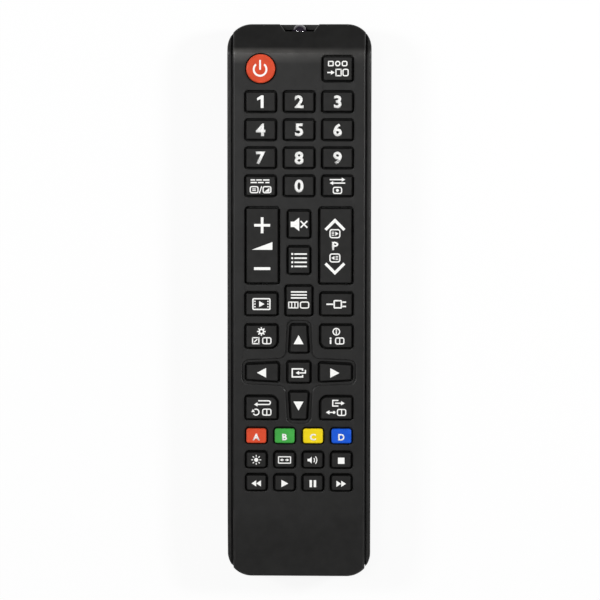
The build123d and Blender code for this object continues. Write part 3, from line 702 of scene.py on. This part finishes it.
# %% Figures and letters
figure_height = 4.45
figure_boldness = 0.034
letter_height = 2.35
letter_boldness = 0.036
one_corners = [(0.05, -2.2), (1.05, -2.2), (1.05, 2.2), (0.25, 2.2), (-1.2, 1.25), (-1.2, 0.4), (0.05, 0.95)]
print_on("key_1", lambda bm: outline(bm, one_corners))
for digit in "023456789":
    print_on("key_" + digit, lambda bm: lettering(bm, digit, 0, 0, figure_height, figure_boldness, 1.06))
for name, letter in (("key_red", "A"), ("key_green", "B"), ("key_yellow", "C"), ("key_blue", "D")):
    print_on(name, lambda bm: lettering(bm, letter, 0, -0.38, letter_height, letter_boldness, 1.02))
print("keys printed", count_prints())

# %% [markdown]
# ## Signs that every remote shares
# Power is an open ring with a bar. Volume is a plus, a wedge and a minus. The programme
# rocker has two chevrons round a P. The direction keys are filled arrow heads.

# %% Common signs


def draw_power(bm):
    """An open ring with a bar in its gap."""
    arc(bm, -0.17, -0.27, 2.22, 0.66, 130, 280)
    bar(bm, -0.17, 1.3, 0.62, 3.4)


def draw_volume(bm):
    """A plus, a rising wedge and a minus."""
    plus_sign(bm, 0, 7.15, 2.8, 0.92)
    outline(bm, [(-3.65, -1.45), (3.6, -1.45), (3.6, 1.25)])
    bar(bm, 0, -8.05, 5.7, 0.98)


def chevron(bm, x, y, way):
    """A V of one stroke that points up or down."""
    corners = [(-3.65, -1.4), (-2.95, -2.1), (0, 0.85), (2.95, -2.1), (3.65, -1.4), (0, 2.25)]
    outline(bm, [(x + side, y + way * reach) for side, reach in corners])


def screen_sign(bm, x, y, heading):
    """A rounded screen with lines of text and an arrow head."""
    side = 1 if heading == 0 else -1
    rounded_frame(bm, x, y, 3.85, 3.2, 0.9, 0.42)
    for rise in (-0.55, 0.0, 0.55):
        bar(bm, x - 0.7 * side, y + rise, 0.9, 0.26)
    triangle(bm, x + 0.7 * side, y, 1.4, 1.1, heading)


def draw_programme(bm):
    """Two chevrons, two screens and a P."""
    chevron(bm, -0.3, 7.35, 1)
    screen_sign(bm, -0.3, 4.25, 0)
    lettering(bm, "P", -0.2, -0.05, 2.95, figure_boldness, 1.12)
    screen_sign(bm, -0.3, -4.25, 180)
    chevron(bm, -0.3, -7.95, -1)


print_on("key_power", draw_power)
print_on("key_volume", draw_volume)
print_on("key_programme", draw_programme)
print_on("key_up", lambda bm: triangle(bm, -0.1, -0.3, 3.5, 3.2, 90))
print_on("key_down", lambda bm: triangle(bm, -0.1, -0.1, 3.5, 3.2, -90))
print_on("key_left", lambda bm: triangle(bm, -0.25, -0.2, 3.4, 3.2, 180))
print_on("key_right", lambda bm: triangle(bm, -0.2, -0.2, 3.4, 3.2, 0))
print("keys printed", count_prints())

# %% [markdown]
# The enter key, in the middle of the cross, has an arrow that hooks into an open box. The
# player's row below has the signs that tape decks made common: squares, arrow heads and
# bars. Strokes that meet only touch and don't overlap, so the extrusion stays clean.

# %% Enter and the player's signs


def draw_enter(bm):
    """A hooked arrow that goes into an open box."""
    bar(bm, -2.3, -0.2, 0.48, 3.3)
    for rise in (1.41, -1.41):
        bar(bm, -0.25, rise - 0.2, 3.62, 0.48)
        bar(bm, 1.32, rise * 2 / 3 - 0.2, 0.48, 0.46)
    triangle(bm, -0.5, -0.2, 1.4, 1.2, 180)
    bar(bm, 1.1, -0.2, 2.0, 0.44)
    bar(bm, 2.32, 0.21, 0.44, 1.26)


def draw_pause(bm):
    """Two upright bars."""
    for side in (-1, 1):
        bar(bm, 0.73 * side, -0.25, 0.85, 2.5)


def draw_double(bm, heading):
    """Two arrow heads in a row."""
    side = 1 if heading == 0 else -1
    for reach in (-0.84, 0.84):
        triangle(bm, reach * side, -0.25, 2.2, 1.66, heading)


print_on("key_enter", draw_enter)
print_on("key_stop", lambda bm: bar(bm, 0, -0.2, 2.3, 2.2))
print_on("key_play", lambda bm: triangle(bm, 0.1, -0.25, 2.6, 2.4, 0))
print_on("key_pause", draw_pause)
print_on("key_rewind", lambda bm: draw_double(bm, 180))
print_on("key_forward", lambda bm: draw_double(bm, 0))
print("keys printed", count_prints())

# %% [markdown]
# ## Function keys
# The function keys carry small signs in two rows: a general sign above, and below it the
# rounded screen that many remotes print for their text-page functions. The arrow and the
# lower screen come back on many keys, so they are strokes of their own.

# %% Signs beside and above the rockers
lower_row = -1.5


def arrow(bm, x, y, length, heading, stroke=0.42, head=1.3):
    """A straight arrow whose middle is at x, y."""
    way = Vector((math.cos(math.radians(heading)), math.sin(math.radians(heading))))
    shaft = Vector((x, y)) - way * head / 2
    tip = Vector((x, y)) + way * (length - head) / 2
    bar(bm, shaft.x, shaft.y, length - head, stroke, heading)
    triangle(bm, tip.x, tip.y, head * 1.15, head, heading)


def lower_screen(bm, x, barred=True):
    """The text-page screen in the lower row."""
    rounded_frame(bm, x, lower_row, 3.3, 2.5, 0.75, 0.4)
    if barred:
        bar(bm, x, lower_row, 0.36, 1.68)


def draw_source(bm):
    """Three sockets, and an arrow into a box."""
    rounded_frame(bm, -2.4, 1.75, 2.0, 1.9, 0.3, 0.4)
    arc(bm, 0, 1.75, 0.75, 0.42, 0, 360)
    rounded_frame(bm, 2.4, 1.75, 2.0, 1.9, 0.6, 0.4)
    arrow(bm, -2.35, -1.35, 2.6, 0)
    rounded_frame(bm, 0.3, -1.35, 2.2, 2.6, 0.1, 0.4)
    rounded_frame(bm, 2.75, -1.35, 2.2, 2.6, 0.7, 0.4)


def draw_text(bm):
    """Two lines of print, and a page beside a half-filled one."""
    for x, width in ((-2.7, 1.6), (-0.5, 2.0), (2.0, 2.2)):
        bar(bm, x, 2.1, width, 0.42)
    for x, width in ((-2.4, 2.2), (0.1, 2.0), (2.4, 1.4)):
        bar(bm, x, 1.2, width, 0.42)
    for x in (-2.25, 2.25):
        rounded_frame(bm, x, -1.3, 3.1, 2.5, 0.7, 0.4)
    for y in (-1.05, -1.6):
        bar(bm, -2.25, y, 1.3, 0.3)
    bar(bm, 0.0, -1.3, 0.36, 2.6, -18)
    outline(bm, [(1.4, -2.0), (3.1, -2.0), (3.1, -0.65)])


def draw_recall(bm):
    """Two arrows that swap, and a screen."""
    arrow(bm, 0, 2.25, 5.4, 0, 0.42, 1.2)
    arrow(bm, 0, 1.05, 5.4, 180, 0.42, 1.2)
    lower_screen(bm, 0, False)
    disc(bm, 0, lower_row, 0.5)


def draw_mute(bm):
    """A loudspeaker beside a cross."""
    outline(bm, [(-2.9, -0.95), (-1.7, -0.95), (0.1, -2.4), (0.1, 2.4), (-1.7, 0.95), (-2.9, 0.95)])
    bar(bm, 1.75, 0, 3.3, 0.5, 45)
    for side in (-1, 1):
        bar(bm, 1.75 - 0.67 * side, 0.67 * side, 1.4, 0.5, -45)


def draw_list(bm):
    """A list with its bullets."""
    for y in (2.2, 0.75, -0.7, -2.15):
        disc(bm, -2.35, y, 0.38, 12)
        bar(bm, 0.6, y, 4.4, 0.52)


# %% [markdown]
# The row above the cross has a strip of film, a menu and a plug. The big middle key
# gets three bars over its two small signs.

# %% Signs above the cross


def draw_media(bm):
    """A strip of film with a play sign."""
    rounded_frame(bm, 0, 0, 6.4, 4.2, 0.5, 0.45)
    triangle(bm, 0.15, 0, 2.1, 1.9, 0)
    for x in (-2.3, 2.3):
        for y in (-0.95, 0, 0.95):
            bar(bm, x, y, 0.5, 0.42)


def draw_menu(bm):
    """Three bars, and a row of cells beside a screen."""
    for y in (3.1, 2.05, 1.0):
        bar(bm, 0, y, 5.6, 0.5)
    rounded_frame(bm, -1.95, lower_row, 3.6, 2.4, 0.15, 0.38)
    for x in (-2.5, -1.4):
        bar(bm, x, lower_row, 0.34, 1.64)
    lower_screen(bm, 2.0, False)


def draw_input(bm):
    """A plug and its lead."""
    rounded_frame(bm, 0.5, 0, 3.0, 3.0, 0.4, 0.48)
    bar(bm, -2.3, 0, 2.4, 0.5)
    for y in (-0.75, 0.75):
        bar(bm, 2.75, y, 1.3, 0.5)


# %% [markdown]
# The four keys round the cross each have a sign over a small one and a barred screen. The
# rays of the toothed wheel serve again as the rays of the sun, on the picture key.

# %% Signs round the cross


def rays(bm, x, y, radius, length, stroke):
    """Eight short bars round a middle."""
    for turn in range(0, 360, 45):
        angle = math.radians(turn)
        bar(bm, x + radius * math.cos(angle), y + radius * math.sin(angle), length, stroke, turn)


def draw_tools(bm):
    """A toothed wheel above an arrow box and a screen."""
    arc(bm, 0, 1.75, 0.75, 0.5, 0, 360)
    rays(bm, 0, 1.75, 1.25, 0.5, 0.42)
    rounded_frame(bm, -2.0, lower_row, 2.6, 2.5, 0.1, 0.4)
    bar(bm, -2.0, lower_row, 1.5, 0.38, 45)
    lower_screen(bm, 1.9)


def draw_info(bm):
    """A small i in a ring, and one beside a screen."""
    arc(bm, 0, 1.75, 1.15, 0.4, 0, 360)
    bar(bm, 0, 1.45, 0.4, 1.0)
    disc(bm, 0, 2.3, 0.24, 12)
    bar(bm, -2.0, -1.8, 0.55, 1.5)
    disc(bm, -2.0, -0.6, 0.34, 12)
    lower_screen(bm, 1.2)


def draw_return(bm):
    """An arrow that turns back above a round one and a screen."""
    bar(bm, 0.7, 2.5, 3.6, 0.42)
    arc(bm, 2.5, 1.85, 0.65, 0.42, -90, 180)
    arrow(bm, -0.05, 1.2, 5.1, 180, 0.42, 1.25)
    arc(bm, -1.9, lower_row, 1.05, 0.42, -150, 270)
    triangle(bm, -2.95, -0.95, 1.25, 1.1, 90)
    lower_screen(bm, 1.9)


def draw_exit(bm):
    """A doorway with an arrow out of it, and a screen."""
    bar(bm, -1.2, 1.75, 0.42, 2.4)
    for y in (2.74, 0.76):
        bar(bm, -0.1, y, 1.78, 0.42)
    arrow(bm, 1.3, 1.75, 3.4, 0)
    arrow(bm, -2.45, lower_row, 2.4, 180)
    disc(bm, -0.75, lower_row, 0.5, 16)
    lower_screen(bm, 1.9)


# %% [markdown]
# The small keys under the colours take one sign each. They are drawn with thinner strokes,
# because the caps are only seven millimetres wide.

# %% Signs on the small keys


def draw_picture_mode(bm):
    """A sun, for how bright the picture is."""
    disc(bm, 0, 0, 0.72, 20)
    rays(bm, 0, 0, 1.42, 0.62, 0.3)


def draw_picture_size(bm):
    """A screen with arrows to its sides."""
    rounded_frame(bm, 0, 0, 4.6, 2.6, 0.3, 0.36)
    arrow(bm, 0.95, 0, 1.4, 0, 0.32, 0.9)
    arrow(bm, -0.95, 0, 1.4, 180, 0.32, 0.9)


def draw_sound(bm):
    """A loudspeaker with two waves."""
    outline(bm, [(-1.9, -0.45), (-1.25, -0.45), (-0.4, -1.2), (-0.4, 1.2), (-1.25, 0.45), (-1.9, 0.45)])
    for radius in (1.0, 1.8):
        arc(bm, -0.4, 0, radius, 0.32, -45, 90)


# %% [markdown]
# One table pairs each function key with its drawing, and one loop prints them all.

# %% Print the function keys
signs = {
    "source": draw_source, "text": draw_text, "recall": draw_recall, "mute": draw_mute, "list": draw_list,
    "media": draw_media, "menu": draw_menu, "input": draw_input, "tools": draw_tools, "info": draw_info,
    "return": draw_return, "exit": draw_exit, "picture_mode": draw_picture_mode,
    "picture_size": draw_picture_size, "sound": draw_sound,
}
for name, draw in signs.items():
    print_on("key_" + name, draw)
print("keys printed", count_prints(), "of", len(key_nodes))

# %% [markdown]
# ## The lamp
# The infrared lamp is cast in clear resin with a dark violet dye, which passes infrared
# and little else. Behind the dome one can just see the steel cup that holds the die. The
# resin is a real see-through material, and the cup is its own small spun piece inside.

# %% Lamp
resin, tree, shader = base_material(
    "violet_resin", 0.05, Transmission_Weight=0.7, IOR=1.55, Coat_Weight=0.3, Coat_Roughness=0.05,
)
cast = spread(tree, noise(tree, 500.0, 2.0), 0.4, 0.6, 0.0, 1.0)
tree.links.new(mixed(tree, cast, (0.035, 0.022, 0.050), (0.055, 0.034, 0.075)), shader.inputs["Base Color"])
bump(tree, shader, noise(tree, 700.0, 1.0), 0.05, 0.02 * mm)


def plated(name, dark, light, roughness):
    """Nickel-plated steel: drawn streaks, small stains and a soft shine."""
    material, tree, shader = base_material(name, roughness, metallic=1.0)
    stain = spread(tree, noise(tree, 600.0, 4.0), 0.35, 0.7, 0.0, 1.0)
    tree.links.new(mixed(tree, stain, light, dark), shader.inputs["Base Color"])
    streaks = noise(tree, 900.0, 3.0, stretch=(1, 8, 1))
    polish = spread(tree, streaks, 0.3, 0.7, roughness - 0.08, roughness + 0.12)
    tree.links.new(polish, shader.inputs["Roughness"])
    bump(tree, shader, streaks, 0.12, 0.02 * mm)
    return material


steel = plated("plated_steel", (0.42, 0.40, 0.37), (0.66, 0.65, 0.62), 0.28)
lamp = smooth_copy("infrared_lamp", resin)
lamp.data.materials.append(steel)
lamp_low, lamp_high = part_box("infrared_lamp")
resin_length = 8.55 * mm  # from the dome to just past the flange, where the leads start
lead_end = lamp_high[1] - resin_length
for face in lamp.data.polygons:
    if face.center.y < lead_end:
        face.material_index = 1


def spun(profile, middle, steps):
    """A profile of radius and reach, in millimetres, spun round an axis along Y."""
    bm = bmesh.new()
    verts = [bm.verts.new((radius, reach, 0)) for radius, reach in profile]
    edges = [bm.edges.new(pair) for pair in zip(verts, verts[1:])]
    bmesh.ops.spin(
        bm, geom=verts + edges, cent=(0, 0, 0), axis=(0, 1, 0), angle=math.tau, steps=steps, use_merge=True,
    )
    bmesh.ops.remove_doubles(bm, verts=bm.verts, dist=0.001)
    bmesh.ops.recalc_face_normals(bm, faces=bm.faces)
    bmesh.ops.translate(bm, verts=bm.verts, vec=middle)
    bmesh.ops.scale(bm, verts=bm.verts, vec=(mm, mm, mm))
    for face in bm.faces:
        face.smooth = True
    for edge in bm.edges:
        edge.smooth = edge.calc_face_angle(0) < sharp_angle
    return bm


lamp_axis = Vector((0, 0, (lamp_low[2] + lamp_high[2]) / 2 / mm))
cup_profile = [(0, 91.0), (0.9, 91.0), (1.3, 92.4), (1.15, 92.4), (0.7, 91.3), (0, 91.3)]
cup = finish_mesh(spun(cup_profile, lamp_axis, 24), "lamp_cup", steel)
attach(cup, body_of_node["infrared_lamp"])
print("lamp faces", len(lamp.data.polygons))

# %% [markdown]
# ## The two cells
# A dry cell is a steel can in a printed sleeve. The sleeve shrinks over both rims, a
# nylon ring seals the plus end, and the nub is pressed from the lid. One profile spun
# round the axis gives all of that. The sleeve's bands follow a number that each vertex
# carries, how far it is along the cell, so both cells look alike though they lie head
# to tail.

# %% Sleeve and seal
cell_radius = 5.25
cell_profile = [
    (0, 0.0), (3.7, 0.0), (3.9, 0.15), (4.3, 0.35), (4.5, 0.35), (4.6, 0.05), (4.95, 0.0), (5.17, 0.12),
    (5.25, 0.4), (5.25, 11.0), (5.25, 22.0), (5.25, 33.0), (5.25, 42.9), (5.17, 43.18), (4.95, 43.3),
    (4.6, 43.25), (4.5, 43.0), (2.6, 43.0), (2.45, 43.15), (1.9, 43.2), (1.9, 44.1), (1.78, 44.38),
    (1.5, 44.5), (0, 44.5),
]
cell_length = 44.5
sleeve_edge = 4.5  # radius at which the sleeve gives way to the steel of the ends
seal_edge = 2.6  # radius at which the seal gives way to the lid
seal_start = 42.0
line_start = 0.74  # shares of the cell's length at which the sleeve changes colour
band_start = 0.755
sleeve_dark = (0.014, 0.024, 0.038)
sleeve_light = (0.020, 0.032, 0.048)
sleeve_band = (0.62, 0.27, 0.045)
sleeve_line = (0.80, 0.80, 0.78)

sleeve, tree, shader = base_material("cell_sleeve", 0.32, Coat_Weight=0.25, Coat_Roughness=0.2)
along = attribute(tree, "along")
tint = mixed(tree, spread(tree, noise(tree, 350.0, 3.0), 0.35, 0.65, 0.0, 1.0), sleeve_dark, sleeve_light)
tint = mixed(tree, arithmetic(tree, "GREATER_THAN", along, line_start), tint, sleeve_line)
tint = mixed(tree, arithmetic(tree, "GREATER_THAN", along, band_start), tint, sleeve_band)
tree.links.new(tint, shader.inputs["Base Color"])
scuffed = noise(tree, 240.0, 4.0)
tree.links.new(spread(tree, scuffed, 0.3, 0.7, 0.24, 0.42), shader.inputs["Roughness"])
bump(tree, shader, scuffed, 0.08, 0.05 * mm)
seal = moulded("cell_seal", (0.45, 0.44, 0.41), (0.55, 0.54, 0.50), 0.45, 2400.0, 0.2, 300.0)
print("points in the cell's profile", len(cell_profile))

# %% [markdown]
# Each cell has a plus and a minus printed on its sleeve, on the side that faces the
# battery cover. They are drawn flat like the prints on the keys, cut finer, and then
# bent round the can, as a real label is.

# %% Cells
plus_place = 38.0  # along the cell, from its flat end
minus_place = 5.0


def mark_cell(name, reach, heading, draw):
    """A print that is bent round the cell, on the side that faces the cover."""
    low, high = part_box(name)
    middle = (low[0] + high[0]) / 2 / mm, (low[2] + high[2]) / 2 / mm
    bm = bmesh.new()
    draw(bm)
    bmesh.ops.subdivide_edges(bm, edges=bm.edges, cuts=3, use_grid_fill=True)
    thicken(bm)
    for vert in bm.verts:
        angle = vert.co.x / cell_radius
        radius = cell_radius - ink_sink + vert.co.z
        side = middle[0] - radius * math.sin(angle)
        vert.co = Vector((side, reach + heading * vert.co.y, middle[1] - radius * math.cos(angle)))
    bmesh.ops.recalc_face_normals(bm, faces=bm.faces)
    bmesh.ops.scale(bm, verts=bm.verts, vec=(mm, mm, mm))
    piece = finish_mesh(bm, name + draw.__name__.replace("draw", ""), ink_material)
    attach(piece, body_of_node[name])


def draw_plus(bm):
    """The plus beside the nub."""
    plus_sign(bm, 0, 0, 1.5, 0.8)


def draw_minus(bm):
    """The minus beside the flat end."""
    bar(bm, 0, 0, 3.0, 0.8)


def make_cell(name, towards_nose):
    """A detailed cell in the place of the CAD one."""
    low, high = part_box(name)
    start = low[1] if towards_nose else high[1]
    heading = 1 if towards_nose else -1
    profile = [(radius, heading * reach) for radius, reach in cell_profile]
    middle = Vector(((low[0] + high[0]) / 2, start, (low[2] + high[2]) / 2)) / mm
    bm = spun(profile, middle, 48)
    share = bm.verts.layers.float.new("along")
    for vert in bm.verts:
        vert[share] = abs(vert.co.y - start) / mm / cell_length
    axis = middle * mm
    for face in bm.faces:
        centre = face.calc_center_median()
        radius = math.hypot(centre.x - axis.x, centre.z - axis.z) / mm
        reach = abs(centre.y - start) / mm
        if radius > sleeve_edge:
            face.material_index = 0
        elif radius > seal_edge and reach > seal_start:
            face.material_index = 2
        else:
            face.material_index = 1
    cell = finish_mesh(bm, name + "_dressed", sleeve)
    cell.data.materials.append(steel)
    cell.data.materials.append(seal)
    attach(cell, body_of_node[name])
    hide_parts(name)
    mark_cell(name, start / mm + heading * plus_place, heading, draw_plus)
    mark_cell(name, start / mm + heading * minus_place, heading, draw_minus)
    return cell


for name, towards_nose in (("battery_left", True), ("battery_right", False)):
    cell = make_cell(name, towards_nose)
    print(name, "faces", len(cell.data.polygons))

# %% [markdown]
# ## The board
# The board is black solder mask over copper tracks, and its contact pads are carbon combs
# that a key's pill bridges. A brick pattern in Object coordinates is enough for tracks that
# show only when the case is opened, and a wave pattern draws the combs.

# %% Board finishes
mask, tree, shader = base_material("solder_mask", 0.4, Specular_IOR_Level=0.3)
tracks = tree.nodes.new("ShaderNodeTexBrick")
tracks.inputs["Scale"].default_value = 260.0
tracks.inputs["Mortar Size"].default_value = 0.07
tracks.inputs["Color1"].default_value = (0.0045, 0.0060, 0.0050, 1)
tracks.inputs["Color2"].default_value = (0.0060, 0.0075, 0.0065, 1)
tracks.inputs["Mortar"].default_value = (0.016, 0.020, 0.016, 1)
place = tree.nodes.new("ShaderNodeTexCoord")
tree.links.new(place.outputs["Object"], tracks.inputs["Vector"])
tree.links.new(tracks.outputs["Color"], shader.inputs["Base Color"])
bump(tree, shader, tracks.outputs["Fac"], 0.25, 0.03 * mm)
cured = noise(tree, 500.0, 3.0)
tree.links.new(spread(tree, cured, 0.3, 0.7, 0.22, 0.38), shader.inputs["Roughness"])

carbon, tree, shader = base_material("carbon_comb", 0.6)
comb = tree.nodes.new("ShaderNodeTexWave")
comb.inputs["Scale"].default_value = 520.0
comb.inputs["Distortion"].default_value = 0.0
place = tree.nodes.new("ShaderNodeTexCoord")
tree.links.new(place.outputs["Object"], comb.inputs["Vector"])
gap = spread(tree, comb.outputs["Fac"], 0.45, 0.55, 0.0, 1.0)
tree.links.new(mixed(tree, gap, (0.006, 0.008, 0.007), (0.018, 0.018, 0.019)), shader.inputs["Base Color"])
bump(tree, shader, gap, 0.3, 0.02 * mm)
print("board finishes", mask.name, "and", carbon.name)

# %% [markdown]
# ## Contacts, screws and small parts
# These sit inside too, or show when the cover slides off. The springs and plates are
# plated steel. The mat between the keys is the same rubber as the black keys, left as it
# came from the mould. The chip's body is epoxy and its legs are plated, so the faces that
# lie outside the body take the steel.

# %% Inner pieces
mat_rubber = moulded("mat_rubber", (0.016, 0.016, 0.016), (0.024, 0.024, 0.023), 0.6, 2800.0, 0.25, 300.0)
epoxy = moulded("chip_epoxy", (0.014, 0.014, 0.015), (0.022, 0.022, 0.023), 0.5, 6000.0, 0.35, 900.0)
can_dark = (0.012, 0.016, 0.06)
can_light = (0.018, 0.024, 0.08)
can_sleeve = moulded("capacitor_sleeve", can_dark, can_light, 0.3, 2000.0, 0.15, 500.0)
ceramic = moulded("chip_ceramic", (0.16, 0.11, 0.07), (0.24, 0.17, 0.11), 0.45, 5000.0, 0.3, 900.0)
inner_finishes = {
    "keypad_mat": mat_rubber,
    "circuit_board": mask,
    "contact_pads": carbon,
    "controller_chip": epoxy,
    "resonator": plated("resonator_can", (0.40, 0.38, 0.34), (0.60, 0.58, 0.54), 0.35),
    "capacitor": can_sleeve,
    "board_components": ceramic,
    "terminal_negative": steel,
    "terminal_positive": steel,
    "terminal_bridge": steel,
    "case_screws": plated("screw_steel", (0.24, 0.235, 0.23), (0.40, 0.39, 0.38), 0.32),
}
for name, finish in inner_finishes.items():
    smooth_copy(name, finish)
chip = bpy.data.objects["controller_chip_shell"]
chip.data.materials.append(steel)
chip_low, chip_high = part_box("controller_chip")
chip_middle = (chip_low[0] + chip_high[0]) / 2
chip_body_half = 3.78 * mm
for face in chip.data.polygons:
    if abs(face.center.x - chip_middle) > chip_body_half:
        face.material_index = 1
print("inner pieces", len(inner_finishes))
